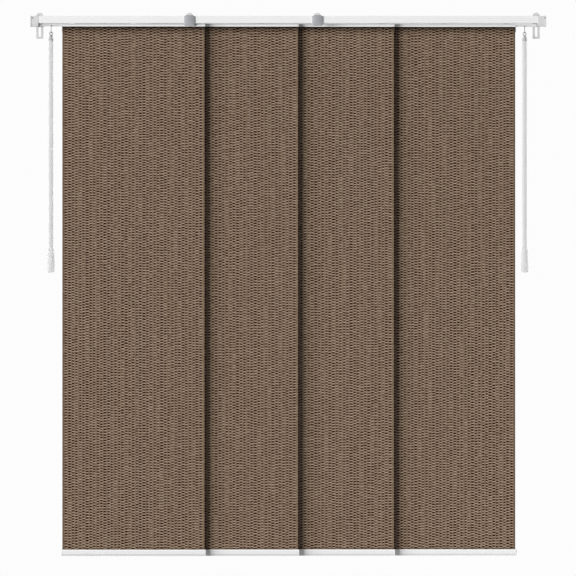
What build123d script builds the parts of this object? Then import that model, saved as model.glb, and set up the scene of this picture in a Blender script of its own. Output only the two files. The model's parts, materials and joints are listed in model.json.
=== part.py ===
from build123d import *
import os

# Panel track blind, in millimetres. X runs along the rail, -Y faces the room, the wall is the
# plane y = 0 and Z is up. The origin is midway between the ear holes of the two end brackets.

# Panels along the rail
PANEL_WIDTH = 597.0
PANEL_OVERLAPS = (204.0, 194.0, 86.0)
LEFT_MARGIN = 102.0
RIGHT_MARGIN = 94.0

# Woven cloth
FABRIC_LENGTH = 2210.0
FABRIC_THICKNESS = 2.2
FABRIC_VALLEY = 1.2
SELVAGE_WIDTH = 8.0
SELVAGE_THICKNESS = 1.6
RIDGE_PITCH = 14.8
RIDGE_FLANK = 3.7
CLOTH_GAP = 0.3

# How far a cut runs past the face that it opens
PAST = 1.0

# Head rail extrusion
RAIL_HEIGHT = 30.0
RAIL_WALL = 1.8
RAIL_CORNER = 1.2
RAIL_TO_WALL = 8.0
CHANNEL_WIDTH = 19.4
CHANNEL_HEIGHT = 7.4
PARTITION = 1.6
LIP_THICKNESS = 2.0
SLOT_WIDTH = 9.0
DECK = 1.6
NUT_BAY_WIDTH = 20.0
NUT_SLOT_WIDTH = 9.0
GROOVE_COUNT = 3
GROOVE_FIRST = 10.7
GROOVE_PITCH = 8.4
GROOVE_WIDTH = 2.2
GROOVE_DEPTH = 0.9

# End caps
CAP_LENGTH = 34.0
CAP_BELOW_RAIL = 14.1
CAP_OVER = 1.4
CAP_EDGE = 2.0
CAP_BEVEL_HEIGHT = 8.0
CAP_BEVEL_DEPTH = 5.0
CAP_FLANGE = 5.0
CAP_RELIEF = 0.8
CAP_SPIGOT = 14.0
SPIGOT_GAP = 0.3
CAP_SCREW_INSET = 7.5
CAP_SCREW_DROP = 8.0

# Screws
SMALL_HEAD_RADIUS = 3.2
SMALL_HEAD_HEIGHT = 1.6
SMALL_SHANK_RADIUS = 1.5
SMALL_SHANK_LENGTH = 9.0
HEX_HEAD_RADIUS = 4.0
HEX_HEAD_HEIGHT = 2.6
SCREW_SHANK_RADIUS = 2.0
SCREW_TIP = 1.5
SCREW_GAP = 0.2
SCREW_HOLE_SPARE = 1.0
HEAD_BEVEL_SHARE = 0.4
RECESS_SHARE = 1.2
RECESS_WIDTH = 1.0
RECESS_DEPTH = 1.0

# Wall brackets
BRACKET_WIDTH = 30.0
BRACKET_THICKNESS = 2.5
EAR_HOLE_HEIGHT = 6.5
EAR_HOLE_RADIUS = 2.75
EAR_CENTRE_HEIGHT = 1.5
LEG_LENGTH = 93.5
LEG_CORNER = 2.0
LEG_SLOT_WIDTH = 10.2
LEG_SLOT_LENGTH = 42.5
LEG_SLOT_FLOOR = 8.0
ARM_THICKNESS = 2.0
ARM_SETBACK = 8.0
ARM_LIP = 11.0
WELD_SIZE = 1.6
END_BRACKET_INSET = 5.3
LEFT_CLIP_FROM_END = 636.0
RIGHT_CLIP_FROM_END = 926.0

# Nuts in the rail's top slot
NUT_LENGTH = 8.0
NUT_WIDTH = 16.0
NUT_HEIGHT = 4.0
NUT_SIDE_GAP = 0.3

# Grey front clips
CLIP_WIDTH = 47.0
CLIP_BELOW_RAIL = 12.0
CLIP_THICKNESS = 5.0
CLIP_CROWN = 3.0
CLIP_TOP_LEAN = 1.0
CLIP_FOOT_CURL = 3.0
CLIP_CORNER = 8.5
CLIP_HOOD_WIDTH = 33.0
CLIP_HOOD_HEIGHT = 4.4
CLIP_HOOD_DEPTH = 18.0
CLIP_HOOD_ROUND = 3.0
CLIP_HOOK_HEIGHT = 3.0
CLIP_FIT = 0.15

# Gliders and stops
GLIDERS_PER_PANEL = 3
GLIDER_LENGTH = 30.0
GLIDER_HEAD = 6.4
GLIDER_SIDE_GAP = 0.5
GLIDER_LIFT = 0.3
GLIDER_CORNER = 5.0
GLIDER_INSET = 40.0
NECK_LENGTH = 20.0
NECK_SIDE_GAP = 0.6
FOOT_NECK_WIDTH = 2.4
FOOT_WIDTH = 4.8
FOOT_HEIGHT = 1.6
FOOT_GAP = 0.2
STOP_LENGTH = 20.0
STOP_GAP = 0.3

# Carrier extrusion
CARRIER_GAP = 2.0
CARRIER_LIP = 1.2
HEAD_HEIGHT = 11.7
HEAD_UPPER = 6.0
HEAD_WIDTH = 9.0
HEAD_STEP = 1.3
HEAD_ROUND = 0.8
HOLLOW_WIDTH = 5.6
HOLLOW_HEIGHT = 3.0
HOLLOW_FLOOR = 1.4
PLATE_THICKNESS = 2.0
PLATE_HEIGHT = 22.3
PLATE_INSET = 0.9
PLUG_THICKNESS = 3.0
PLUG_SPIGOT = 12.0
PLUG_FIT = 0.2

# Hook tape
TAPE_THICKNESS = 1.0
TAPE_HEIGHT = 20.0
TAPE_INSET = 3.0
TAPE_DROP = 0.8

# Bottom rail
BOTTOM_HEIGHT = 27.0
BOTTOM_DEPTH = 10.0
BOTTOM_TOP_ROUND = 2.5
BOTTOM_BEVEL_HEIGHT = 8.0
BOTTOM_BEVEL_DEPTH = 3.4
BOTTOM_SLOT_DEPTH = 13.0
BOTTOM_HOLLOW_WIDTH = 5.0
BOTTOM_HOLLOW_HEIGHT = 6.0
BOTTOM_HOLLOW_FLOOR = 4.5
BOTTOM_OVERHANG = 2.0
BOTTOM_CAP = 4.0
BOTTOM_CAP_EDGE = 1.0
BOTTOM_CAP_SPIGOT = 10.0

# Wand arm and wire link
WAND_FROM_RAIL_END = 54.5
ARM_END_GAP = 5.0
STRIP_THICKNESS = 2.5
STRIP_DROP = 0.5
STRIP_FLANGE_WIDTH = 7.0
STRIP_FLANGE_HEIGHT = 1.5
STRIP_END_ROUND = 5.0
HOLE_TO_EDGE = 4.2
WIRE_RADIUS = 1.3
WIRE_GAP = 0.35
LOOP_LENGTH = 12.0
LOOP_WIDTH = 7.2
LOOP_CORNER = 2.2
LINK_LENGTH = 28.0
STEM_RADIUS = 1.7
EYE_RADIUS = 3.9
WIRE_SIDES = 6

# Wand
RING_RADIUS = 6.2
RING_WIRE = 2.2
CAP_TOP_RADIUS = 5.0
CAP_CONE_HEIGHT = 18.5
CAP_CONE_BULGE = 1.2
CAP_SKIRT_HEIGHT = 4.0
CAP_SKIRT_WALL = 1.0
TUBE_RADIUS = 9.4
TUBE_WALL = 1.6
TUBE_LENGTH = 961.0
TUBE_FIT = 0.15
PLUG_LENGTH = 12.0
GRIP_LENGTH = 106.0
GRIP_TOP_RADIUS = 12.2
GRIP_BOTTOM_RADIUS = 15.3
GRIP_SHOULDER = 5.0
GRIP_TAPER_LENGTH = 72.0
GRIP_ROUND = 4.0
FACET_SHARE = 0.3
GRIP_FLOOR = 18.0

# Places worked out from the sizes above
panel_count = len(PANEL_OVERLAPS) + 1
panel_spread = panel_count * PANEL_WIDTH - sum(PANEL_OVERLAPS)
rail_length = LEFT_MARGIN + panel_spread + RIGHT_MARGIN
rail_left = -rail_length / 2
rail_right = rail_length / 2
stack_left = rail_left + LEFT_MARGIN
stack_right = rail_right - RIGHT_MARGIN

rail_top = -EAR_HOLE_HEIGHT
rail_bottom = rail_top - RAIL_HEIGHT
pitch = CHANNEL_WIDTH + PARTITION
rail_depth = 2 * RAIL_WALL + panel_count * pitch - PARTITION
rail_back = -RAIL_TO_WALL
rail_front = rail_back - rail_depth
rail_middle = (rail_back + rail_front) / 2
channel_floor = rail_bottom + LIP_THICKNESS
channel_roof = channel_floor + CHANNEL_HEIGHT
deck_top = channel_roof + DECK

carrier_top = rail_bottom - CARRIER_GAP
head_bottom = carrier_top - HEAD_HEIGHT
head_step = carrier_top - HEAD_UPPER
plate_back = HEAD_WIDTH / 2 - PLATE_INSET
plate_front = plate_back - PLATE_THICKNESS
plate_bottom = head_bottom - PLATE_HEIGHT
fabric_top = head_bottom - CLOTH_GAP
fabric_bottom = fabric_top - FABRIC_LENGTH
fabric_offset = plate_front - TAPE_THICKNESS - CLOTH_GAP - FABRIC_THICKNESS / 2
bottom_slot_floor = fabric_bottom - CLOTH_GAP
bottom_top = bottom_slot_floor + BOTTOM_SLOT_DEPTH
bottom_foot = bottom_top - BOTTOM_HEIGHT

strip_top = carrier_top - STRIP_DROP
strip_bottom = head_bottom
hole_height = strip_bottom + HOLE_TO_EDGE
ring_wire_height = hole_height - LINK_LENGTH
ring_height = ring_wire_height - RING_RADIUS
cap_top = ring_height - RING_RADIUS
skirt_top = cap_top - CAP_CONE_HEIGHT
tube_top = skirt_top - TUBE_FIT
tube_bottom = tube_top - TUBE_LENGTH
grip_bottom = tube_bottom - TUBE_FIT - GRIP_FLOOR
grip_top = grip_bottom + GRIP_LENGTH

end_bracket_xs = (rail_left + END_BRACKET_INSET, rail_right - END_BRACKET_INSET)
clip_xs = (rail_left + LEFT_CLIP_FROM_END, rail_right - RIGHT_CLIP_FROM_END)


def channel_y(index):
    """Middle of a channel, counted from the room side."""
    return rail_front + RAIL_WALL + CHANNEL_WIDTH / 2 + index * pitch


def panel_left(index):
    """Left edge of a panel, counted from the left."""
    return stack_left + index * PANEL_WIDTH - sum(PANEL_OVERLAPS[:index])


def area(low_y, high_y, low_z, high_z):
    """Rectangle in the drawing plane of Y and Z, given by its four sides."""
    middle = Pos((low_y + high_y) / 2, (low_z + high_z) / 2)
    return middle * Rectangle(high_y - low_y, high_z - low_z)


def along_x(profile, start, end):
    """Extrude a profile drawn in Y and Z from one X to another."""
    return extrude(Plane.YZ.offset(start) * profile, end - start)


def block(low_x, high_x, low_y, high_y, low_z, high_z):
    """Box given by its six sides."""
    middle = Pos((low_x + high_x) / 2, (low_y + high_y) / 2, (low_z + high_z) / 2)
    return middle * Box(high_x - low_x, high_y - low_y, high_z - low_z)


def upright(radius, low_z, high_z):
    """Cylinder about the Z axis between two heights."""
    return Pos(0, 0, (low_z + high_z) / 2) * Cylinder(radius, high_z - low_z)


def save(name, shapes):
    """Write one node with all its solids."""
    solids = [solid for shape in shapes for solid in shape.solids()]
    node = solids[0] if len(solids) == 1 else Compound(solids)
    export_step(node, f"parts/{name}.step")


def rail_bays():
    """Hollow bays of the beam above the channels, as front, middle and back sides."""
    web = PARTITION / 2
    bay = NUT_BAY_WIDTH / 2
    front = (rail_front + RAIL_WALL, rail_middle - bay - 2 * web)
    middle = (rail_middle - bay, rail_middle + bay)
    back = (rail_middle + bay + 2 * web, rail_back - RAIL_WALL)
    return front, middle, back


def rail_profile():
    """Section of the head rail: slotted channels, hollow beam, nut slot and ribbed front."""
    outline = RectangleRounded(rail_depth, RAIL_HEIGHT, RAIL_CORNER)
    section = Pos(rail_middle, rail_top - RAIL_HEIGHT / 2) * outline
    for index in range(panel_count):
        middle = channel_y(index)
        half = CHANNEL_WIDTH / 2
        section -= area(middle - half, middle + half, channel_floor, channel_roof)
        half = SLOT_WIDTH / 2
        section -= area(middle - half, middle + half, rail_bottom - PAST, channel_floor)
    for low, high in rail_bays():
        section -= area(low, high, deck_top, rail_top - RAIL_WALL)
    half = NUT_SLOT_WIDTH / 2
    section -= area(rail_middle - half, rail_middle + half, rail_top - RAIL_WALL, rail_top + PAST)
    for number in range(GROOVE_COUNT):
        middle = rail_top - GROOVE_FIRST - number * GROOVE_PITCH
        low = middle - GROOVE_WIDTH / 2
        section -= area(rail_front - PAST, rail_front + GROOVE_DEPTH, low, low + GROOVE_WIDTH)
    return section


def cap_screw_place(side, face_x):
    """Place of an end cap's screw, on the cap's room side near its outer top corner."""
    front = rail_front - CAP_OVER
    x = face_x - side * CAP_SCREW_INSET
    return Pos(x, front, rail_top - CAP_SCREW_DROP) * Rot(90, 0, 0)


def cap_outline(relief, top):
    """Outline of an end cap in Y and Z up to a height, drawn in by a relief and bevelled at its foot."""
    low_y = rail_front - CAP_OVER + relief
    high_y = rail_back + CAP_OVER - relief
    foot = rail_bottom - CAP_BELOW_RAIL + relief
    bevel_top = foot + CAP_BEVEL_HEIGHT
    line = Polyline((low_y, top), (low_y, bevel_top), (low_y + CAP_BEVEL_DEPTH, foot),
                    (high_y - CAP_BEVEL_DEPTH, foot), (high_y, bevel_top), (high_y, top), close=True)
    return make_face(line)


def end_cap(side, rail_end):
    """Moulded cap on one end of the rail, with spigots in the beam's outer bays."""
    outer = rail_end + side * CAP_LENGTH
    inner_end = outer - side * CAP_FLANGE
    low_x, high_x = sorted((rail_end, inner_end))
    sleeve = along_x(cap_outline(CAP_RELIEF, rail_top), low_x, high_x)
    low_x, high_x = sorted((inner_end, outer))
    flange = along_x(cap_outline(0, rail_top + CAP_OVER), low_x, high_x)
    flange = fillet(flange.edges().filter_by(Axis.X).group_by(Axis.Z)[-1], CAP_EDGE)
    rim = flange.faces().sort_by(Axis.X)[-1 if side > 0 else 0]
    flange = chamfer(rim.edges(), CAP_RELIEF)
    cap = sleeve + flange
    front_bay, _, back_bay = rail_bays()
    low_x, high_x = sorted((rail_end, rail_end - side * CAP_SPIGOT))
    for low, high in (front_bay, back_bay):
        low_z = deck_top + SPIGOT_GAP
        high_z = rail_top - RAIL_WALL - SPIGOT_GAP
        cap += block(low_x, high_x, low + SPIGOT_GAP, high - SPIGOT_GAP, low_z, high_z)
    depth = SMALL_SHANK_LENGTH + SCREW_HOLE_SPARE
    hole = upright(SMALL_SHANK_RADIUS + SCREW_GAP, -depth, PAST)
    return cap - cap_screw_place(side, outer) * hole


def end_cap_screw(side, rail_end):
    """Pan head screw with a cross recess, in the front of an end cap."""
    head = upright(SMALL_HEAD_RADIUS, 0, SMALL_HEAD_HEIGHT)
    head = chamfer(head.edges().group_by(Axis.Z)[-1], SMALL_HEAD_HEIGHT * HEAD_BEVEL_SHARE)
    for angle in (0, 90):
        bar = Box(SMALL_HEAD_RADIUS * RECESS_SHARE, RECESS_WIDTH, RECESS_DEPTH)
        head -= Pos(0, 0, SMALL_HEAD_HEIGHT - RECESS_DEPTH / 2) * Rot(0, 0, angle) * bar
    body = head + upright(SMALL_SHANK_RADIUS, -SMALL_SHANK_LENGTH, 0)
    return cap_screw_place(side, rail_end + side * CAP_LENGTH) * body


def bracket_arm_front(has_lip):
    """Y of the arm's front end: over the rail's front where a clip covers it, else set back."""
    return rail_front - ARM_THICKNESS if has_lip else rail_front + ARM_SETBACK


def wall_bracket(x, has_lip):
    """Pressed bracket: holed ear, slotted leg and an arm that lies on the rail."""
    half = BRACKET_WIDTH / 2
    leg_end = rail_top - LEG_LENGTH
    ear_z = rail_top + EAR_CENTRE_HEIGHT
    plate = Pos(0, (leg_end + ear_z) / 2) * Rectangle(BRACKET_WIDTH, ear_z - leg_end)
    plate = fillet(plate.vertices().group_by(Axis.Y)[0], LEG_CORNER)
    plate += Pos(0, ear_z) * Circle(half)
    plate -= Circle(EAR_HOLE_RADIUS)
    slot = SlotOverall(LEG_SLOT_LENGTH, LEG_SLOT_WIDTH, rotation=90)
    plate -= Pos(0, leg_end + LEG_SLOT_FLOOR + LEG_SLOT_LENGTH / 2) * slot
    bracket = extrude(Plane.XZ * plate, BRACKET_THICKNESS)
    front = bracket_arm_front(has_lip)
    arm_top = rail_top + ARM_THICKNESS
    bracket += block(-half, half, front, -BRACKET_THICKNESS, rail_top, arm_top)
    weld = Polyline((-BRACKET_THICKNESS, rail_top), (-BRACKET_THICKNESS - WELD_SIZE, rail_top),
                    (-BRACKET_THICKNESS, rail_top - WELD_SIZE), close=True)
    bracket += along_x(make_face(weld), -half, half)
    if has_lip:
        bracket += block(-half, half, front, rail_front, arm_top - ARM_LIP, rail_top)
    hole = upright(SCREW_SHANK_RADIUS + SCREW_GAP, rail_top - PAST, arm_top + PAST)
    return Pos(x, 0, 0) * (bracket - Pos(0, rail_middle, 0) * hole)


def bracket_nut(x):
    """Nut with a collar in the rail's top slot and a flange under the slot's lips."""
    half = NUT_SLOT_WIDTH / 2 - NUT_SIDE_GAP
    top = rail_top - RAIL_WALL
    length = NUT_LENGTH / 2
    nut = block(-length, length, -half, half, top, rail_top - NUT_SIDE_GAP)
    nut += block(-length, length, -NUT_WIDTH / 2, NUT_WIDTH / 2, top - NUT_HEIGHT, top)
    nut -= upright(SCREW_SHANK_RADIUS + SCREW_GAP / 2, top - NUT_HEIGHT - PAST, rail_top + PAST)
    return Pos(x, rail_middle, 0) * nut


def bracket_screw(x):
    """Hexagon head screw through a bracket's arm into its nut."""
    length = ARM_THICKNESS + RAIL_WALL + NUT_HEIGHT + SCREW_TIP
    head = extrude(RegularPolygon(HEX_HEAD_RADIUS, 6), HEX_HEAD_HEIGHT)
    body = head + upright(SCREW_SHANK_RADIUS, -length, 0)
    return Pos(x, rail_middle, rail_top + ARM_THICKNESS) * body


def front_clip(x):
    """Clip crowned both ways over the rail's front, with a hood on the arm and a hook under the rail."""
    half = CLIP_WIDTH / 2
    low = rail_bottom - CLIP_BELOW_RAIL
    front = rail_front - CLIP_THICKNESS
    sheet = Pos(0, (rail_top + low) / 2) * Rectangle(CLIP_WIDTH, rail_top - low)
    sheet = fillet(sheet.vertices().group_by(Axis.Y)[0], CLIP_CORNER)
    hood_top = rail_top + CLIP_HOOD_HEIGHT
    hood = Pos(0, (hood_top + low) / 2) * Rectangle(CLIP_HOOD_WIDTH, hood_top - low)
    hood = fillet(hood.vertices(), CLIP_HOOD_ROUND)
    silhouette = extrude(Plane.XZ.offset(-rail_front) * (sheet + hood), CLIP_THICKNESS)
    crown = Line((-half, rail_front), (half, rail_front))
    crown += Line((half, rail_front), (half, front + CLIP_CROWN))
    crown += ThreePointArc((half, front + CLIP_CROWN), (0, front), (-half, front + CLIP_CROWN))
    crown += Line((-half, front + CLIP_CROWN), (-half, rail_front))
    bar = extrude(Plane.XY.offset(low - PAST) * make_face(crown), hood_top - low + 2 * PAST)
    bow = Line((rail_front, hood_top), (front + CLIP_TOP_LEAN, hood_top))
    bow += ThreePointArc((front + CLIP_TOP_LEAN, hood_top), (front, (rail_top + rail_bottom) / 2),
                         (front + CLIP_FOOT_CURL, low))
    bow += Line((front + CLIP_FOOT_CURL, low), (rail_front, low))
    bow += Line((rail_front, low), (rail_front, hood_top))
    clip = silhouette & bar & along_x(make_face(bow), -half, half)
    hood_half = CLIP_HOOD_WIDTH / 2
    clip += block(-hood_half, hood_half, rail_front, rail_front + CLIP_HOOD_DEPTH, rail_top, hood_top)
    hook_top = rail_bottom - CLIP_FIT
    hook_back = rail_front + RAIL_WALL
    clip += block(-hood_half, hood_half, rail_front, hook_back, hook_top - CLIP_HOOK_HEIGHT, hook_top)
    arm_half = BRACKET_WIDTH / 2 + CLIP_FIT
    arm_top = rail_top + ARM_THICKNESS
    arm_front = bracket_arm_front(True) - CLIP_FIT
    clip -= block(-arm_half, arm_half, arm_front, rail_back, rail_top - PAST, arm_top + CLIP_FIT)
    clip -= block(-arm_half, arm_half, arm_front, rail_front, arm_top - ARM_LIP - CLIP_FIT, arm_top)
    return Pos(x, 0, 0) * clip


def glider_xs(left):
    """Middles of a panel's gliders, spread between its two edges."""
    first = left + GLIDER_INSET
    step = (PANEL_WIDTH - 2 * GLIDER_INSET) / (GLIDERS_PER_PANEL - 1)
    return [first + number * step for number in range(GLIDERS_PER_PANEL)]


def glider(x, y):
    """Moulded glider: runner in the channel, neck through the slot, foot in the carrier."""
    width = CHANNEL_WIDTH - 2 * GLIDER_SIDE_GAP
    low = channel_floor + GLIDER_LIFT
    plan = chamfer(Rectangle(GLIDER_LENGTH, width).vertices(), GLIDER_CORNER)
    body = extrude(Plane.XY.offset(low) * plan, GLIDER_HEAD)
    neck_half = SLOT_WIDTH / 2 - NECK_SIDE_GAP
    length = NECK_LENGTH / 2
    body += block(-length, length, -neck_half, neck_half, carrier_top, low)
    foot_top = carrier_top - CARRIER_LIP - FOOT_GAP
    narrow = FOOT_NECK_WIDTH / 2
    body += block(-length, length, -narrow, narrow, foot_top, carrier_top)
    wide = FOOT_WIDTH / 2
    body += block(-length, length, -wide, wide, foot_top - FOOT_HEIGHT, foot_top)
    return Pos(x, y, 0) * body


def track_stop(low_x, y):
    """Stop block in a channel, with its tongue in the slot."""
    half = CHANNEL_WIDTH / 2 - GLIDER_SIDE_GAP
    high_x = low_x + STOP_LENGTH
    stop = block(low_x, high_x, y - half, y + half, channel_floor, channel_floor + GLIDER_HEAD)
    half = SLOT_WIDTH / 2 - NECK_SIDE_GAP
    return stop + block(low_x, high_x, y - half, y + half, rail_bottom, channel_floor)


def track_stops():
    """Two stops in each channel, where the outer gliders come to rest."""
    reach = GLIDER_LENGTH / 2 + STOP_GAP
    left = stack_left + GLIDER_INSET - reach - STOP_LENGTH
    right = stack_right - GLIDER_INSET + reach
    return [track_stop(x, channel_y(index)) for index in range(panel_count) for x in (left, right)]


def carrier_outline():
    """Outline of the carrier's section about its channel's middle."""
    half = HEAD_WIDTH / 2
    outline = area(HEAD_STEP - half, half, head_step, carrier_top)
    lower = Rectangle(HEAD_WIDTH, head_step - head_bottom)
    lower = fillet(lower.vertices().sort_by(Axis.X)[:2], HEAD_ROUND)
    outline += Pos(0, (head_step + head_bottom) / 2) * lower
    outline += area(plate_front, plate_back, plate_bottom, head_bottom)
    return outline


def hollow_sides(fit):
    """Sides of the carrier's hollow, drawn in by a fit on every side."""
    half = HOLLOW_WIDTH / 2 - fit
    floor = head_bottom + HOLLOW_FLOOR
    return -half, half, floor + fit, floor + HOLLOW_HEIGHT - fit


def carrier_profile():
    """Section of the carrier: foot groove on top, hollow head and a plate for the tape."""
    section = carrier_outline()
    half = FOOT_NECK_WIDTH / 2 + FOOT_GAP
    section -= area(-half, half, carrier_top - CARRIER_LIP, carrier_top + PAST)
    half = FOOT_WIDTH / 2 + FOOT_GAP
    depth = CARRIER_LIP + FOOT_HEIGHT + 2 * FOOT_GAP
    section -= area(-half, half, carrier_top - depth, carrier_top - CARRIER_LIP)
    return section - area(*hollow_sides(0))


def carrier(left, y):
    """Carrier extrusion, as long as its panel is wide."""
    return along_x(Pos(y, 0) * carrier_profile(), left, left + PANEL_WIDTH)


def carrier_plug(x, y, side):
    """Plug on a carrier's end, with a spigot in its hollow."""
    low_x, high_x = sorted((x, x + side * PLUG_THICKNESS))
    plug = along_x(Pos(y, 0) * carrier_outline(), low_x, high_x)
    low_x, high_x = sorted((x, x - side * PLUG_SPIGOT))
    return plug + along_x(Pos(y, 0) * area(*hollow_sides(PLUG_FIT)), low_x, high_x)


def hook_tape(left, y):
    """Tape on the room side of the carrier's plate."""
    high = head_bottom - TAPE_DROP
    tape = area(plate_front - TAPE_THICKNESS, plate_front, high - TAPE_HEIGHT, high)
    return along_x(Pos(y, 0) * tape, left + TAPE_INSET, left + PANEL_WIDTH - TAPE_INSET)


def fabric_side(face):
    """Points of one face of the cloth in plan, from left to right: selvage, ridges and selvage."""
    count = round((PANEL_WIDTH - 2 * SELVAGE_WIDTH) / RIDGE_PITCH)
    step = (PANEL_WIDTH - 2 * SELVAGE_WIDTH) / count
    hem = face * SELVAGE_THICKNESS / 2
    valley = face * FABRIC_VALLEY / 2
    crest = face * FABRIC_THICKNESS / 2
    end = PANEL_WIDTH - SELVAGE_WIDTH
    points = [(0, hem), (SELVAGE_WIDTH, hem), (SELVAGE_WIDTH, valley)]
    for number in range(count):
        x = SELVAGE_WIDTH + number * step
        points += [(x + RIDGE_FLANK, crest), (x + step - RIDGE_FLANK, crest), (x + step, valley)]
    return points + [(end, hem), (PANEL_WIDTH, hem)]


def fabric(left, y):
    """Woven panel: warp ridges on both faces between plain selvages."""
    outline = Polyline(*fabric_side(-1), *reversed(fabric_side(1)), close=True)
    place = Plane.XY.offset(fabric_bottom) * Pos(left, y + fabric_offset)
    return extrude(place * make_face(outline), FABRIC_LENGTH)


def bottom_outline():
    """Outline of the bottom rail's section about the cloth's middle: rounded top and bevelled foot."""
    half = BOTTOM_DEPTH / 2
    foot_half = half - BOTTOM_BEVEL_DEPTH
    bevel_top = bottom_foot + BOTTOM_BEVEL_HEIGHT
    line = Polyline((-half, bottom_top), (-half, bevel_top), (-foot_half, bottom_foot),
                    (foot_half, bottom_foot), (half, bevel_top), (half, bottom_top), close=True)
    outline = make_face(line)
    return fillet(outline.vertices().group_by(Axis.Y)[-1], BOTTOM_TOP_ROUND)


def bottom_hollow_sides(fit):
    """Sides of the bottom rail's hollow, drawn in by a fit on every side."""
    half = BOTTOM_HOLLOW_WIDTH / 2 - fit
    floor = bottom_foot + BOTTOM_HOLLOW_FLOOR
    return -half, half, floor + fit, floor + BOTTOM_HOLLOW_HEIGHT - fit


def bottom_rail(left, y):
    """Bottom rail: slot for the cloth above a hollow for the caps' spigots."""
    half = FABRIC_THICKNESS / 2 + CLOTH_GAP
    section = bottom_outline() - area(-half, half, bottom_slot_floor, bottom_top + PAST)
    section -= area(*bottom_hollow_sides(0))
    start = left - BOTTOM_OVERHANG
    end = left + PANEL_WIDTH + BOTTOM_OVERHANG
    return along_x(Pos(y + fabric_offset, 0) * section, start, end)


def bottom_cap(x, y, side):
    """Cap on one end of a bottom rail."""
    low_x, high_x = sorted((x, x + side * BOTTOM_CAP))
    cap = along_x(Pos(y + fabric_offset, 0) * bottom_outline(), low_x, high_x)
    rim = cap.faces().sort_by(Axis.X)[-1 if side > 0 else 0]
    cap = chamfer(rim.edges(), BOTTOM_CAP_EDGE)
    low_x, high_x = sorted((x, x - side * BOTTOM_CAP_SPIGOT))
    spigot = area(*bottom_hollow_sides(PLUG_FIT))
    return cap + along_x(Pos(y + fabric_offset, 0) * spigot, low_x, high_x)


def wand_arm(panel_edge, wand_x, y, side, rail_end):
    """Arm on the carrier's outer end: plug, flanged strip and the hole for the link."""
    end = rail_end - side * ARM_END_GAP
    start = panel_edge + side * PLUG_THICKNESS
    low_x, high_x = sorted((start, end))
    height = strip_top - strip_bottom
    strip = Pos((low_x + high_x) / 2, (strip_top + strip_bottom) / 2) * Rectangle(high_x - low_x, height)
    outer_corners = strip.vertices().group_by(Axis.X)[-1 if side > 0 else 0]
    strip = fillet(outer_corners, STRIP_END_ROUND)
    strip -= Pos(wand_x, hole_height) * Circle(WIRE_RADIUS + WIRE_GAP)
    arm = extrude(Plane.XZ.offset(-y - STRIP_THICKNESS / 2) * strip, STRIP_THICKNESS)
    half = STRIP_FLANGE_WIDTH / 2
    low_x, high_x = sorted((start, end - side * STRIP_END_ROUND))
    arm += block(low_x, high_x, y - half, y + half, strip_top - STRIP_FLANGE_HEIGHT, strip_top)
    return arm + carrier_plug(panel_edge, y, side)


def turned(points):
    """Turned solid from its half section, given as radius and height."""
    return revolve(Plane.XZ * make_face(Polyline(*points, close=True)), Axis.Z)


def ring(radius, wire):
    """Ring in the plane of X and Z about the origin, of a many-sided wire."""
    section = Plane.XY * Pos(radius, 0) * RegularPolygon(wire, WIRE_SIDES)
    return revolve(section, Axis.Y)


def wand_link(x, y):
    """Wire link: closed loop through the arm's hole, stem and eye round the wand's ring."""
    loop_middle = hole_height - LOOP_LENGTH / 2
    path = Plane.YZ * RectangleRounded(LOOP_WIDTH, LOOP_LENGTH, LOOP_CORNER)
    wire = path.wires()[0]
    start = Plane(origin=wire @ 0, z_dir=wire % 0)
    link = Pos(0, 0, loop_middle) * sweep(start * RegularPolygon(WIRE_RADIUS, WIRE_SIDES), path=wire)
    stem_top = hole_height - LOOP_LENGTH
    link += upright(STEM_RADIUS, ring_wire_height + EYE_RADIUS, stem_top)
    link += Pos(0, 0, ring_wire_height) * Rot(0, 0, 90) * ring(EYE_RADIUS, WIRE_RADIUS)
    return Pos(x, y, 0) * link


def wand_eyelet(x, y):
    """Ring with a tapered cap that plugs and skirts the top of the tube."""
    skirt = TUBE_RADIUS + TUBE_FIT + CAP_SKIRT_WALL
    waist = (CAP_TOP_RADIUS + skirt) / 2 + CAP_CONE_BULGE
    cap = turned([(0, cap_top), (CAP_TOP_RADIUS, cap_top), (waist, (cap_top + skirt_top) / 2),
                  (skirt, skirt_top), (skirt, skirt_top - CAP_SKIRT_HEIGHT), (0, skirt_top - CAP_SKIRT_HEIGHT)])
    cap -= upright(TUBE_RADIUS + TUBE_FIT, skirt_top - CAP_SKIRT_HEIGHT - PAST, skirt_top)
    cap += upright(TUBE_RADIUS - TUBE_WALL - TUBE_FIT, skirt_top - PLUG_LENGTH, skirt_top)
    cap += Pos(0, 0, ring_height) * ring(RING_RADIUS, RING_WIRE)
    return Pos(x, y, 0) * cap


def wand_tube(x, y):
    """Straight tube of the wand."""
    tube = upright(TUBE_RADIUS, tube_bottom, tube_top)
    tube -= upright(TUBE_RADIUS - TUBE_WALL, tube_bottom - PAST, tube_top + PAST)
    return Pos(x, y, 0) * tube


def wand_grip(x, y):
    """Flared grip over the foot of the tube."""
    bore = TUBE_RADIUS + TUBE_FIT
    shoulder = grip_top - GRIP_SHOULDER
    taper_end = shoulder - GRIP_TAPER_LENGTH
    facet = GRIP_ROUND * FACET_SHARE
    grip = turned([(0, grip_top), (bore + TUBE_WALL / 2, grip_top), (GRIP_TOP_RADIUS, shoulder),
                   (GRIP_BOTTOM_RADIUS, taper_end), (GRIP_BOTTOM_RADIUS, grip_bottom + GRIP_ROUND),
                   (GRIP_BOTTOM_RADIUS - facet, grip_bottom + facet),
                   (GRIP_BOTTOM_RADIUS - GRIP_ROUND, grip_bottom), (0, grip_bottom)])
    grip -= upright(bore, tube_bottom - TUBE_FIT, grip_top + PAST)
    return Pos(x, y, 0) * grip


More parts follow.
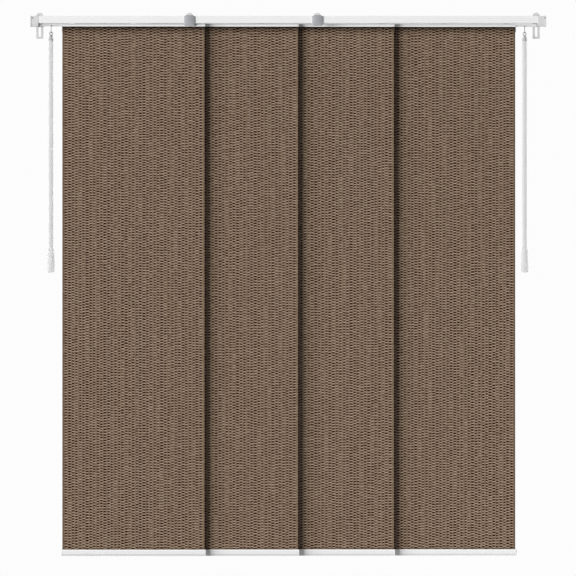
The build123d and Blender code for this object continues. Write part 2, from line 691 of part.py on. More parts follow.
def save_fixed():
    """Write the rail and everything that is fixed to it or to the wall."""
    save("head_rail", [along_x(rail_profile(), rail_left, rail_right)])
    ends = ((-1, rail_left), (1, rail_right))
    for name, (side, rail_end) in zip(("left", "right"), ends):
        save(f"end_cap_{name}", [end_cap(side, rail_end)])
    save("end_cap_screws", [end_cap_screw(side, rail_end) for side, rail_end in ends])
    bracket_xs = sorted(end_bracket_xs + clip_xs)
    for number, x in enumerate(bracket_xs, start=1):
        save(f"wall_bracket_{number}", [wall_bracket(x, x in clip_xs)])
    save("bracket_nuts", [bracket_nut(x) for x in bracket_xs])
    save("bracket_screws", [bracket_screw(x) for x in bracket_xs])
    for name, x in zip(("left", "right"), clip_xs):
        save(f"front_clip_{name}", [front_clip(x)])
    save("track_stops", track_stops())


def save_panel(index):
    """Write one panel with its carrier, gliders, tape, bottom rail and plugs."""
    left = panel_left(index)
    right = left + PANEL_WIDTH
    y = channel_y(index)
    name = f"panel_{index + 1}"
    save(f"{name}_carrier", [carrier(left, y)])
    save(f"{name}_gliders", [glider(x, y) for x in glider_xs(left)])
    plugs = []
    if index > 0:
        plugs.append(carrier_plug(left, y, -1))
    if index < panel_count - 1:
        plugs.append(carrier_plug(right, y, 1))
    save(f"{name}_carrier_caps", plugs)
    save(f"{name}_hook_tape", [hook_tape(left, y)])
    save(f"{name}_fabric", [fabric(left, y)])
    save(f"{name}_bottom_rail", [bottom_rail(left, y)])
    caps = [bottom_cap(left - BOTTOM_OVERHANG, y, -1), bottom_cap(right + BOTTOM_OVERHANG, y, 1)]
    save(f"{name}_bottom_caps", caps)


def save_wand(name, side, panel_edge, rail_end, y):
    """Write one wand with its arm and link."""
    x = rail_end - side * WAND_FROM_RAIL_END
    save(f"{name}_wand_arm", [wand_arm(panel_edge, x, y, side, rail_end)])
    save(f"{name}_wand_link", [wand_link(x, y)])
    save(f"{name}_wand_eyelet", [wand_eyelet(x, y)])
    save(f"{name}_wand_tube", [wand_tube(x, y)])
    save(f"{name}_wand_grip", [wand_grip(x, y)])


os.makedirs("parts", exist_ok=True)
save_fixed()
for index in range(panel_count):
    save_panel(index)
save_wand("left", -1, stack_left, rail_left, channel_y(0))
save_wand("right", 1, stack_right, rail_right, channel_y(panel_count - 1))
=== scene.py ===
import json
import math

import bmesh
import bpy
import numpy as np
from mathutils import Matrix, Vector


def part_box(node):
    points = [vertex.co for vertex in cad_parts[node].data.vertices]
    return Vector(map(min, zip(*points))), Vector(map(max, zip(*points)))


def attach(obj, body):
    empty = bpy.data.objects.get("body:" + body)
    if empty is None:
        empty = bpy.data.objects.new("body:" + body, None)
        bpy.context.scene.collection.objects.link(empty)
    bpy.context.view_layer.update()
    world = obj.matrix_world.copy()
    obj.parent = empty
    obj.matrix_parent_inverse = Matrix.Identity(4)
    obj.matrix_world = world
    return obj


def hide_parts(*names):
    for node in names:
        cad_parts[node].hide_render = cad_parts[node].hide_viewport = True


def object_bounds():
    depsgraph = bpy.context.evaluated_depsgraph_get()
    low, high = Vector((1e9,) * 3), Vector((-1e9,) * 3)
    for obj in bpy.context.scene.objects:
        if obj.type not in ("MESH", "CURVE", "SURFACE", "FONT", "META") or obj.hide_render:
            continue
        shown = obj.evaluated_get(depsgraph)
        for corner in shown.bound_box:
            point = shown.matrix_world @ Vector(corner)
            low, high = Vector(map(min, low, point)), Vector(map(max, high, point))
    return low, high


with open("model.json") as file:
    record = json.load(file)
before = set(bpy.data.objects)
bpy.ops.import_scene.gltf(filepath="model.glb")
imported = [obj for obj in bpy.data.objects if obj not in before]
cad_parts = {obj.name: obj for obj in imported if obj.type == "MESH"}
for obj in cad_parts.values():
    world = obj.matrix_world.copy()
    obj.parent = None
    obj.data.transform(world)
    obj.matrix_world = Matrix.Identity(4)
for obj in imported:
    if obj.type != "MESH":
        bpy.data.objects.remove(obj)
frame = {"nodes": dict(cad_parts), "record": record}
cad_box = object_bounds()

# A panel track blind, in metres. X runs along the rail, -Y faces the room and Z is up.
PANELS = (1, 2, 3, 4)
SIDES = ("left", "right")

# Weave: warp columns side by side, with one dark hollow in each cell down a column
COLUMNS = 39
SELVAGE = 0.008
CELL_HEIGHT = 0.01135
COLUMN_QUADS = 4
CELL_QUADS = 3
SELVAGE_QUADS = 2
RELIEF = 0.0012
OVAL_WIDTH = 0.37
OVAL_HEIGHT = 0.33
OVAL_CORE = 0.74
OVAL_EDGE = 1.16
DEPTH_BASE = 1.04
DEPTH_LEAST = 0.5
PANEL_SEED = 57.0
# Steps in which a warped place or a drifted height is solved
WARP_STEPS = 12
DRIFT_STEPS = 6
# Uneven column widths; each wave is a size, a step from column to column and a start
WARP_WAVES = ((0.06, 2.4, 0.0), (0.04, 5.1, 1.3))
# Each further wave is a size, a step from column to column, a rate down the cloth or from cell to cell, and a start
DRIFT_WAVES = ((0.42, 0.21, 2.9, 0.5), (0.22, 0.47, -7.3, 2.0), (0.13, 2.399, 5.3, 0.0), (0.09, 5.131, 13.7, 1.1),
               (0.07, 9.71, 31.0, 2.3), (0.05, 3.77, 71.0, 0.4))
SLANT_WAVES = ((0.11, 1.713, 9.1, 0.7), (0.10, 7.3, 27.0, 2.9))
DEPTH_WAVES = ((0.20, 12.99, 7.81, 0.0), (0.17, 4.13, 9.37, 1.7), (0.15, 2.71, 17.3, 4.0))
FADE_WAVES = ((0.30, 8.21, 4.9, 0.3), (0.25, 3.33, 11.3, 2.1))
FADE_START = 0.28
FADE_RANGE = 0.20
FADE_MOST = 0.35
END_FADE = 0.014
# Threads: where a column's crown falls off, in columns, and where the space between hollows starts, in cells
CROWN = (0.10, 0.5)
BETWEEN = (0.22, 0.46)
# Noise of the cloth: a scale, a detail and a stretch
CLOUD = (9.0, 3.0, (1, 1, 1))
FIBRE = (420.0, 2.0, (0.22, 1, 1))
THREAD = (95.0, 2.0, (0.5, 1, 1))
# How the thread's noise dims the painted highlight on the crowns: its span, then the least and the most light
THREAD_GLINT = (0.2, 0.75, 0.55, 1.0)
CLOUD_SHADE = 0.10
FIBRE_SHADE = 0.16
FIBRE_RELIEF = 0.25
CLOTH_ROUGHNESS = 0.85
CLOTH_BUMP = (0.35, 0.0008)
# Painted shade on the left and right selvages, and on the last panel's right one
LEFT_SELVAGE = 0.42
RIGHT_SELVAGE = 0.1
LAST_SELVAGE = 0.6
# Painted shade along the cloth's top under the rail: depth below the cloth's top and how light the cloth is there
TOP_PAINTED_SHADE = ((0.0, 0.04), (0.003, 0.10), (0.006, 0.27), (0.012, 0.42), (0.019, 0.62), (0.026, 0.78), (0.036, 0.93),
          (0.046, 1.0))

# Shade where the cloth runs into the bottom rail, by height above the cloth's foot
FOOT_LOW = 0.014
FOOT_HIGH = 0.021
FOOT_SHADE = 0.55

# Camera: the photograph's side and one pixel of it at the blind, and the row of the rail's top
PHOTO_SIDE = 576
PIXEL = 0.0042
RAIL_ROW = 15.95
FRAME_WIDTH = PHOTO_SIDE * PIXEL
FRAME_CENTRE_BELOW_RAIL = (PHOTO_SIDE / 2 - RAIL_ROW) * PIXEL
CAMERA_DISTANCE = 40.0
CAMERA_REACH = 200
SENSOR_MM = 36.0

# Light: a lamp is a direction, a distance, a size and a power; FILL and PAPER are the world's light and its look
KEY = ((-0.866, -0.5, 0.028), 60.0, (46.0, 3.0), 59500.0)
BACK = ((0.55, 0.60, 0.58), 30.0, (18.0, 18.0), 10000.0)
FILL = 0.10
PAPER = 0.975
FLOOR_DROP = 0.3
FLOOR_GLOW = 0.32
FLOOR_REACH = 5.0
FLOOR_GREYS = (224, 228)
FLOOR_GRAIN = 30.0
FLOOR_ROUGHNESS = 0.8

# Edges sharper than this stay sharp
SHARP = math.radians(42)

# Front clips: the outline's lower corners, shoulders and hood
CLIP_CORNER = 0.0085
CLIP_SHOULDER = 0.0008
CLIP_HOOD = 0.0165
CLIP_HOOD_ROUND = 0.003
# How far the front falls back at the sides, the top and the foot, and how the falls blend
CLIP_CROWN = 0.003
CLIP_LEAN = 0.001
CLIP_CURL = 0.003
CLIP_BLEND = 1.6
# Rings of the front out to its rim, then the rim's rings as a share of the outline and a further fall
CLIP_RINGS = 14
CLIP_FLAT = 0.97
CLIP_RIM = ((0.984, 0.00008), (0.994, 0.0003), (1.0, 0.0008))
# Thickness of the shell, the hollow's share of the outline, and the least depth of the rim and of the hollow
CLIP_WALL = 0.0016
CLIP_HOLLOW = 0.92
CLIP_EDGE = 0.0003
CLIP_INNER_EDGE = 0.0002
# Soft edges of hood and hook, the hook's size, the gap round what they hold, and the bracket arm's thickness
CLIP_SOFT = 0.0004
HOOK_HEIGHT = 0.003
HOOK_DEPTH = 0.0018
CLIP_GAP = 0.00015
ARM_THICKNESS = 0.002

# Links: wire, the loop in the arm's hole, the eye below, and the tail wound round the stem
LINK_WIRE = 0.0013
LOOP_WIDTH = 0.0072
LOOP_HEIGHT = 0.012
LOOP_CORNER = 0.0022
EYE = 0.0039
EYE_STEPS = 36
STEM_WIRE = 0.0011
TAIL_WIRE = 0.0006
TAIL_SIDES = 10
TAIL_TURNS = 4
TAIL_STEPS = 16
TAIL_INSET = 0.0008

# Eyelets: ring, the cap's neck and flare, and offsets that round the neck's and the skirt's corners
RING = 0.0062
RING_WIRE = 0.0022
RING_STEPS = 48
CAP_DOME = 0.0005
CAP_NECK = 0.005
CAP_FLARE = 0.7
CAP_STEPS = 12
CAP_GAP = 0.00015
NECK_ROUND = ((-0.0012, 0.0004), (-0.0003, 0.0))
SKIRT_ROUND = ((-0.0002, 0.0), (0.0, -0.0006), (0.0, -0.0034), (-0.0004, -0.004))
SKIRT_HOLLOW = (0.0092, -0.004)
SKIRT_FLOOR = -0.0035

# Tubes and grips: soft ends, the grip's mouth, shoulder, flare and rounded foot
TUBE_SOFT = 0.0004
TUBE_SIDES = 72
GRIP_MOUTH = ((0.0, -0.0004), (0.0096, -0.0003))
SHOULDER_DROP = 0.005
SHOULDER_MIDDLE = (0.0102, 0.003)
SHOULDER_ROUND = 0.002
SHOULDER_RADIUS = 0.0122
FLARE_DROP = 0.077
FLARE_STEPS = 10
GRIP_STRAIGHT = 0.02
GRIP_FOOT = 0.004
GRIP_FOOT_TOP = 0.002


def srgb(r, g, b):
    """Linear colour of an 8-bit sRGB one."""
    def one(v):
        v /= 255
        return v / 12.92 if v <= 0.04045 else ((v + 0.055) / 1.055) ** 2.4
    return (one(r), one(g), one(b), 1.0)


def grey(v):
    """Neutral linear colour of an 8-bit sRGB level."""
    return srgb(v, v, v)


class Nodes:
    """A material's node tree with short ways to add nodes."""

    def __init__(self, name):
        self.material = bpy.data.materials.new(name)
        self.material.use_nodes = True
        self.tree = self.material.node_tree
        self.shader = self.tree.nodes["Principled BSDF"]

    def add(self, kind, **settings):
        node = self.tree.nodes.new(kind)
        for key, value in settings.items():
            setattr(node, key, value)
        return node

    def put(self, target, value):
        if isinstance(value, (int, float, tuple)):
            target.default_value = value
        else:
            self.tree.links.new(value, target)

    def math(self, operation, first, second=0.0, third=0.0, clamp=False):
        node = self.add("ShaderNodeMath", operation=operation, use_clamp=clamp)
        for socket, value in zip(node.inputs, (first, second, third)):
            self.put(socket, value)
        return node.outputs[0]

    def mix(self, factor, first, second, blend="MIX"):
        node = self.add("ShaderNodeMix", data_type="RGBA", blend_type=blend)
        self.put(node.inputs["Factor"], factor)
        self.put(node.inputs[6], first)
        self.put(node.inputs[7], second)
        return node.outputs[2]

    def seen(self):
        """1 on camera, glossy and transmission rays, else 0."""
        path = self.add("ShaderNodeLightPath")
        both = self.math("MAXIMUM", path.outputs["Is Camera Ray"], path.outputs["Is Glossy Ray"])
        return self.math("MAXIMUM", both, path.outputs["Is Transmission Ray"])

    def smooth(self, value, low, high, start=0.0, end=1.0):
        node = self.add("ShaderNodeMapRange", interpolation_type="SMOOTHSTEP")
        for socket, one in zip(node.inputs, (value, low, high, start, end)):
            self.put(socket, one)
        return node.outputs[0]

    def place(self):
        """X, Y and Z of a point in the object's own frame."""
        coords = self.add("ShaderNodeTexCoord").outputs["Object"]
        parts = self.add("ShaderNodeSeparateXYZ")
        self.put(parts.inputs[0], coords)
        return parts.outputs["X"], parts.outputs["Y"], parts.outputs["Z"]

    def noise(self, scale, detail=2.0, stretch=(1, 1, 1), roughness=0.5):
        coords = self.add("ShaderNodeTexCoord").outputs["Object"]
        mapping = self.add("ShaderNodeMapping")
        self.put(mapping.inputs["Vector"], coords)
        mapping.inputs["Scale"].default_value = stretch
        node = self.add("ShaderNodeTexNoise")
        self.put(node.inputs["Vector"], mapping.outputs[0])
        node.inputs["Scale"].default_value = scale
        node.inputs["Detail"].default_value = detail
        node.inputs["Roughness"].default_value = roughness
        return node.outputs["Fac"]

    def bump(self, height, strength, distance):
        node = self.add("ShaderNodeBump")
        self.put(node.inputs["Height"], height)
        node.inputs["Strength"].default_value = strength
        node.inputs["Distance"].default_value = distance
        self.tree.links.new(node.outputs[0], self.shader.inputs["Normal"])

    def waves(self, waves, column, second):
        """Sum of the waves at a column and a second coordinate."""
        total = 0.0
        for size, step, rate, start in waves:
            angle = self.math("MULTIPLY_ADD", column, step, start)
            angle = self.math("MULTIPLY_ADD", second, rate, angle)
            total = self.math("MULTIPLY_ADD", self.math("SINE", angle), size, total)
        return total


def finish_material(name, colour, spread, roughness, scale, stretch=(1, 1, 1), metallic=0.0, bump=0.1,
                    coat=0.0, shine=0.5, clear=0.0, bands=()):
    """Painted, moulded or metal finish: slightly uneven colour and roughness, a fine grain, and bands of another
    colour, mostly painted shade or painted highlight.
    """
    n = Nodes(name)
    cloud = n.noise(scale * CLOUD_SCALE, CLOUD_DETAIL, stretch)
    grain = n.noise(scale * GRAIN_SCALE, GRAIN_DETAIL, stretch)
    dark = tuple(c * (1 - spread) for c in colour[:3]) + (1.0,)
    light = tuple(min(1.0, c * (1 + spread)) for c in colour[:3]) + (1.0,)
    base = n.mix(n.smooth(cloud, *NOISE_SPAN), dark, light)
    if bands:
        _, y, z = n.place()
        front = n.math("LESS_THAN", y, FRONT_FACE)
    for low, high, shade, front_only in bands:
        within = n.math("MULTIPLY", n.math("GREATER_THAN", z, low), n.math("LESS_THAN", z, high))
        base = n.mix(n.math("MULTIPLY", within, front) if front_only else within, base, shade)
    n.put(n.shader.inputs["Base Color"], base)
    rough = n.smooth(grain, *GRAIN_SPAN, roughness - ROUGH_SWING, roughness + ROUGH_SWING)
    n.put(n.shader.inputs["Roughness"], rough)
    n.shader.inputs["Metallic"].default_value = metallic
    n.shader.inputs["Coat Weight"].default_value = coat
    n.shader.inputs["Specular IOR Level"].default_value = shine
    n.shader.inputs["Transmission Weight"].default_value = clear
    if clear:
        n.shader.inputs["IOR"].default_value = MILKY_IOR
    n.bump(grain, bump, GRAIN_HEIGHT)
    return n.material


def drift(column, z):
    """How far a column's cells are shifted down it, in cells."""
    return sum(a * np.sin(k * column + m * z + p) for a, k, m, p in DRIFT_WAVES)


def hollow(fu, fv, column, row, z):
    """Depth of the weave's hollow at a place in its cell, from 0 on the threads to 1."""
    slant = sum(a * np.sin(k * column + m * z + p) for a, k, m, p in SLANT_WAVES)
    depth = DEPTH_BASE + sum(a * np.sin(k * column + m * row + p) for a, k, m, p in DEPTH_WAVES)
    fade = sum(a * np.sin(k * column + m * z + p) for a, k, m, p in FADE_WAVES)
    faded = 1 - FADE_MOST * np.clip((fade - FADE_START) / FADE_RANGE, 0, 1)
    far = np.sqrt((fu / OVAL_WIDTH) ** 2 + ((fv + slant * fu) / OVAL_HEIGHT) ** 2)
    step = np.clip((OVAL_EDGE - far) / (OVAL_EDGE - OVAL_CORE), 0, 1)
    return step * step * (3 - 2 * step) * np.clip(depth, DEPTH_LEAST, 1) * faded


def unwarp(across):
    """Straight place across the cloth whose warped place is the given one, in columns."""
    straight = across.copy()
    for _ in range(WARP_STEPS):
        straight = across - sum(a * np.sin(k * straight + p) for a, k, p in WARP_WAVES)
    return straight


def cloth_mesh(name, low, high, seed):
    """Woven sheet with a hollow at each cell's middle, its vertices set on the weave's lattice."""
    left, right, bottom, top = low.x, high.x, low.z, high.z
    pitch = (right - left - 2 * SELVAGE) / COLUMNS
    middle = (low.y + high.y) / 2
    across = np.arange(COLUMNS * COLUMN_QUADS + 1) / COLUMN_QUADS
    xs = left + SELVAGE + pitch * unwarp(across)
    xs = np.concatenate([np.linspace(left, xs[0], SELVAGE_QUADS + 1)[:-1], xs,
                         np.linspace(xs[-1], right, SELVAGE_QUADS + 1)[1:]])
    rows = int((top - bottom) / CELL_HEIGHT * CELL_QUADS)
    even = top - (top - bottom) * np.arange(rows + 1) / rows

    def column_heights(column):
        """Heights of a column's vertices: its cells' middles and thirds."""
        odd = np.mod(column, 2)
        lattice = np.arange(rows + 1) / CELL_QUADS + 0.5 / CELL_QUADS + odd / CELL_QUADS
        z = even.copy()
        for _ in range(DRIFT_STEPS):
            z = top - (lattice - odd / 2 - drift(column + seed, z)) * CELL_HEIGHT
        ends = np.clip(np.minimum(top - even, even - bottom) / END_FADE, 0, 1)
        return even + (z - even) * ends * ends * (3 - 2 * ends)

    heights = [column_heights(float(c)) for c in range(COLUMNS)]
    points = np.zeros((len(xs), rows + 1, 3))
    for i, x in enumerate(xs):
        k = i - SELVAGE_QUADS
        column = min(max(k // COLUMN_QUADS, 0), COLUMNS - 1)
        z = heights[column]
        depth = np.zeros(rows + 1)
        if 0 < k < COLUMNS * COLUMN_QUADS:
            if k % COLUMN_QUADS == 0:
                z = (heights[column - 1] + heights[column]) / 2
            else:
                cells = (top - z) / CELL_HEIGHT + (column % 2) / 2 + drift(column + seed, z)
                fu = (k % COLUMN_QUADS) / COLUMN_QUADS - 0.5
                depth = hollow(fu, cells - np.floor(cells) - 0.5, column + seed, np.floor(cells), z)
        points[i, :, 0] = x
        points[i, :, 1] = middle + RELIEF * (depth - 0.5)
        points[i, :, 2] = z
    count = rows + 1
    a = (np.arange(len(xs) - 1)[:, None] * count + np.arange(rows)[None, :]).ravel()
    faces = np.stack([a, a + 1, a + count + 1, a + count], axis=1)
    mesh = bpy.data.meshes.new(name)
    mesh.from_pydata(points.reshape(-1, 3).tolist(), [], faces.tolist())
    mesh.shade_smooth()
    piece = bpy.data.objects.new(name, mesh)
    bpy.context.scene.collection.objects.link(piece)
    return piece


def weave_material(name, low, high, seed, right_painted_shade):
    """Brown woven cloth: threads with a painted highlight round a staggered lattice of dark hollows with painted
    shade, and plain selvages.
    """
    n = Nodes(name)
    x, _, z = n.place()
    pitch = (high.x - low.x - 2 * SELVAGE) / COLUMNS
    straight = n.math("MULTIPLY", n.math("SUBTRACT", x, low.x + SELVAGE), 1 / pitch)
    across = straight
    for size, step, start in WARP_WAVES:
        angle = n.math("MULTIPLY_ADD", straight, step, start)
        across = n.math("MULTIPLY_ADD", n.math("SINE", angle), size, across)
    bare = n.math("FLOOR", across)
    fu = n.math("SUBTRACT", n.math("SUBTRACT", across, bare), 0.5)
    column = n.math("ADD", bare, seed)
    odd = n.math("FLOORED_MODULO", bare, 2.0)
    cells = n.math("MULTIPLY", n.math("SUBTRACT", high.z, z), 1 / CELL_HEIGHT)
    cells = n.math("MULTIPLY_ADD", odd, 0.5, cells)
    cells = n.math("ADD", cells, n.waves(DRIFT_WAVES, column, z))
    row = n.math("FLOOR", cells)
    fv = n.math("SUBTRACT", n.math("SUBTRACT", cells, row), 0.5)
    slanted = n.math("MULTIPLY_ADD", n.waves(SLANT_WAVES, column, z), fu, fv)
    wide = n.math("POWER", n.math("MULTIPLY", n.math("ABSOLUTE", fu), 1 / OVAL_WIDTH), 2.0)
    tall = n.math("POWER", n.math("MULTIPLY", n.math("ABSOLUTE", slanted), 1 / OVAL_HEIGHT), 2.0)
    far = n.math("SQRT", n.math("ADD", wide, tall))
    depth = n.math("ADD", n.waves(DEPTH_WAVES, column, row), DEPTH_BASE)
    depth = n.math("MINIMUM", n.math("MAXIMUM", depth, DEPTH_LEAST), 1.0)
    fade = n.waves(FADE_WAVES, column, z)
    fade = n.math("MULTIPLY", n.math("SUBTRACT", fade, FADE_START), 1 / FADE_RANGE, clamp=True)
    depth = n.math("MULTIPLY", depth, n.math("MULTIPLY_ADD", fade, -FADE_MOST, 1.0))
    oval = n.math("MULTIPLY", n.smooth(far, OVAL_CORE, OVAL_EDGE, 1.0, 0.0), depth)
    first = n.math("LESS_THAN", across, 0.0)
    last = n.math("GREATER_THAN", across, float(COLUMNS))
    inside = n.math("SUBTRACT", n.math("SUBTRACT", 1.0, first), last)
    oval = n.math("MULTIPLY", oval, inside)

    # Threads: a painted highlight where they cross a column's middle between two hollows
    crown = n.smooth(n.math("ABSOLUTE", fu), *CROWN, 1.0, 0.0)
    between = n.smooth(n.math("ABSOLUTE", slanted), *BETWEEN)
    light = n.math("MULTIPLY", crown, between)
    light = n.math("MULTIPLY", light, inside)
    cloud = n.noise(*CLOUD)
    fibre = n.noise(*FIBRE)
    thread = n.noise(*THREAD)
    colour = n.mix(n.smooth(thread, *NOISE_SPAN), THREAD_DARK, THREAD_MID)
    colour = n.mix(n.math("MULTIPLY", light, n.smooth(thread, *THREAD_GLINT)), colour, THREAD_HIGHLIGHT)
    colour = n.mix(n.smooth(cloud, *NOISE_SPAN, 0.0, CLOUD_SHADE), colour, THREAD_DARK)
    colour = n.mix(n.math("MULTIPLY", fibre, FIBRE_SHADE), colour, HOLLOW)
    # The weave's dark hollows: their own darker colour, with painted shade in them
    colour = n.mix(oval, colour, HOLLOW)
    # Painted shade along the left and right selvages
    colour = n.mix(n.math("MULTIPLY", first, LEFT_SELVAGE), colour, EDGE_PAINTED_SHADE)
    colour = n.mix(n.math("MULTIPLY", last, right_painted_shade), colour, EDGE_PAINTED_SHADE)

    # Painted shade along the cloth's top under the rail, and painted shade above the bottom rail
    ramp = n.add("ShaderNodeValToRGB")
    n.put(ramp.inputs[0], n.math("MULTIPLY", n.math("SUBTRACT", high.z, z), 1 / TOP_PAINTED_SHADE[-1][0]))
    while len(ramp.color_ramp.elements) < len(TOP_PAINTED_SHADE):
        ramp.color_ramp.elements.new(0.5)
    for element, (drop, level) in zip(ramp.color_ramp.elements, TOP_PAINTED_SHADE):
        element.position = drop / TOP_PAINTED_SHADE[-1][0]
        element.color = (level, level, level, 1.0)
    colour = n.mix(1.0, colour, ramp.outputs["Color"], "MULTIPLY")
    # Painted shade where the cloth runs into the bottom rail
    foot = n.smooth(z, low.z + FOOT_LOW, low.z + FOOT_HIGH, FOOT_SHADE, 0.0)
    colour = n.mix(foot, colour, EDGE_PAINTED_SHADE)
    n.put(n.shader.inputs["Base Color"], colour)
    n.shader.inputs["Roughness"].default_value = CLOTH_ROUGHNESS
    n.shader.inputs["Specular IOR Level"].default_value = 0.0
    relief = n.math("MULTIPLY_ADD", oval, -1.0, n.math("MULTIPLY", fibre, FIBRE_RELIEF))
    n.bump(relief, *CLOTH_BUMP)
    return n.material


def new_piece(name, parts):
    """Smooth mesh piece from parts, each a list of points and a list of faces."""
    points, faces = [], []
    for part_points, part_faces in parts:
        base = len(points)
        points += part_points
        faces += [[base + i for i in face] for face in part_faces]
    mesh = bpy.data.meshes.new(name)
    mesh.from_pydata(points, [], faces)
    mesh.shade_smooth()
    mesh.set_sharp_from_angle(angle=SHARP)
    piece = bpy.data.objects.new(name, mesh)
    bpy.context.scene.collection.objects.link(piece)
    return piece


def slab(low, high, soft):
    """Block with rounded edges."""
    block = bmesh.new()
    bmesh.ops.create_cube(block, size=1)
    for vertex in block.verts:
        vertex.co = [a + (c + 0.5) * (b - a) for a, b, c in zip(low, high, vertex.co)]
    bmesh.ops.bevel(block, geom=block.edges[:], offset=soft, segments=3, profile=0.5, affect="EDGES")
    block.verts.index_update()
    points = [tuple(vertex.co) for vertex in block.verts]
    faces = [[vertex.index for vertex in face.verts] for face in block.faces]
    block.free()
    return points, faces


def lathe(profile, centre, segments=64):
    """Turned closed form about a vertical axis from (radius, height) points, first and last on the axis."""
    cx, cy = centre
    points = [(cx, cy, profile[0][1])]
    for r, z in profile[1:-1]:
        for k in range(segments):
            turn = math.tau * k / segments
            points.append((cx + r * math.cos(turn), cy + r * math.sin(turn), z))
    points.append((cx, cy, profile[-1][1]))
    rings = len(profile) - 2
    faces = []
    for k in range(segments):
        after = (k + 1) % segments
        faces.append([0, 1 + after, 1 + k])
        for ring in range(rings - 1):
            a = 1 + ring * segments
            faces.append([a + k, a + after, a + segments + after, a + segments + k])
        a = 1 + (rings - 1) * segments
        faces.append([a + k, a + after, len(points) - 1])
    return points, faces


def tube(path, radius, closed, sides=20):
    """Round wire along a path, closed on itself or with capped ends."""
    path = [Vector(p) for p in path]
    count = len(path)
    points, faces = [], []
    normal = None
    for i, here in enumerate(path):
        before = path[(i - 1) % count] if closed or i > 0 else here
        after = path[(i + 1) % count] if closed or i < count - 1 else here
        along = (after - before).normalized()
        if normal is None:
            normal = along.orthogonal().normalized()
        normal = (normal - along * normal.dot(along)).normalized()
        side = along.cross(normal)
        for k in range(sides):
            turn = math.tau * k / sides
            points.append(tuple(here + radius * (math.cos(turn) * normal + math.sin(turn) * side)))
    last = count if closed else count - 1
    for i in range(last):
        a, b = i * sides, ((i + 1) % count) * sides
        for k in range(sides):
            after = (k + 1) % sides
            faces.append([a + k, a + after, b + after, b + k])
    if not closed:
        faces.append(list(range(sides))[::-1])
        faces.append([(count - 1) * sides + k for k in range(sides)])
    return points, faces


def arc(centre, radius, start, end, steps):
    """Points of an arc in a plane, by angles in degrees."""
    return [(centre[0] + radius * math.cos(math.radians(start + (end - start) * k / steps)),
             centre[1] + radius * math.sin(math.radians(start + (end - start) * k / steps)))
            for k in range(steps + 1)]


def rounded_loop(width, height, corner, middle):
    """Closed rounded rectangle as points about a middle."""
    u, v = width / 2 - corner, height / 2 - corner
    corners = ((u, v, 0), (-u, v, 90), (-u, -v, 180), (u, -v, 270))
    flat = [p for cu, cv, start in corners for p in arc((cu, cv), corner, start, start + 90, 8)]
    return [(middle[0] + a, middle[1] + b) for a, b in flat]


def circle(centre, radius, steps):
    """Closed circle as points."""
    return arc(centre, radius, 0, 360 - 360 / steps, steps - 1)


# Cloth colours
# Painted highlight on the threads' crowns
THREAD_HIGHLIGHT = srgb(196, 175, 155)
THREAD_MID = srgb(144, 125, 106)
THREAD_DARK = srgb(116, 97, 79)
# Dark of the weave's hollows, with painted shade in them
HOLLOW = srgb(44, 15, 0)
# Painted shade on the selvages and above the cloth's foot
EDGE_PAINTED_SHADE = srgb(78, 62, 48)

# Noise of the finishes: clouds and grain against a finish's own scale, and how far the grain moves its roughness
CLOUD_SCALE = 0.15
CLOUD_DETAIL = 3.0
GRAIN_SCALE = 8
GRAIN_DETAIL = 2.0
NOISE_SPAN = (0.3, 0.7)
GRAIN_SPAN = (0.2, 0.8)
ROUGH_SWING = 0.05
GRAIN_HEIGHT = 0.0002

# Milky plastic lets the light behind it through almost straight
MILKY_IOR = 1.1

# Bands of another colour, mostly painted shade or painted highlight: lowest and highest place, shade, and whether on
# the room face only
FRONT_FACE = -0.0925
# Painted shade in the grooves of the rail's room face
RAIL_GROOVE_SHADE = ((-0.0183, -0.0161, grey(228), True), (-0.0267, -0.0245, grey(227), True),
              (-0.0351, -0.0329, grey(228), True))
# Painted shade on the carriers' upper part, under the rail's front
CARRIER_SHADE_BAND = ((-0.0447, 0.0, grey(196), False),)
# The plugs' plates take the carriers' painted shade under the rail, and are painted dark below the light strip like
# the shadow beside the cloth, because the photograph shows no light edge beside the cloth
PLUG_SHADE_BANDS = ((-0.0447, 0.0, grey(196), False), (-0.2, -0.0503, srgb(70, 56, 44), False))
# The tube is clear where the grip covers it, so that it doesn't show through
BELOW_ALL = -9.0
CLEAR_START = 0.0005
TUBE_BANDS = ((BELOW_ALL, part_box("left_wand_grip")[1][2] - CLEAR_START, grey(255), False),)
# Painted highlight along the bottom rail's top edge, and painted shade on its lower bevel
BOTTOM_HIGHLIGHT_AND_SHADE = ((-2.2534, -2.2400, grey(246), False), (-2.2800, -2.2665, grey(213), False))

# Stretch of the grain along the extrusions, down the brackets and down the tubes
ALONG_X = (0.05, 1, 1)
DOWN_BRACKET = (1, 1, 0.2)
DOWN_TUBE = (1, 1, 0.05)

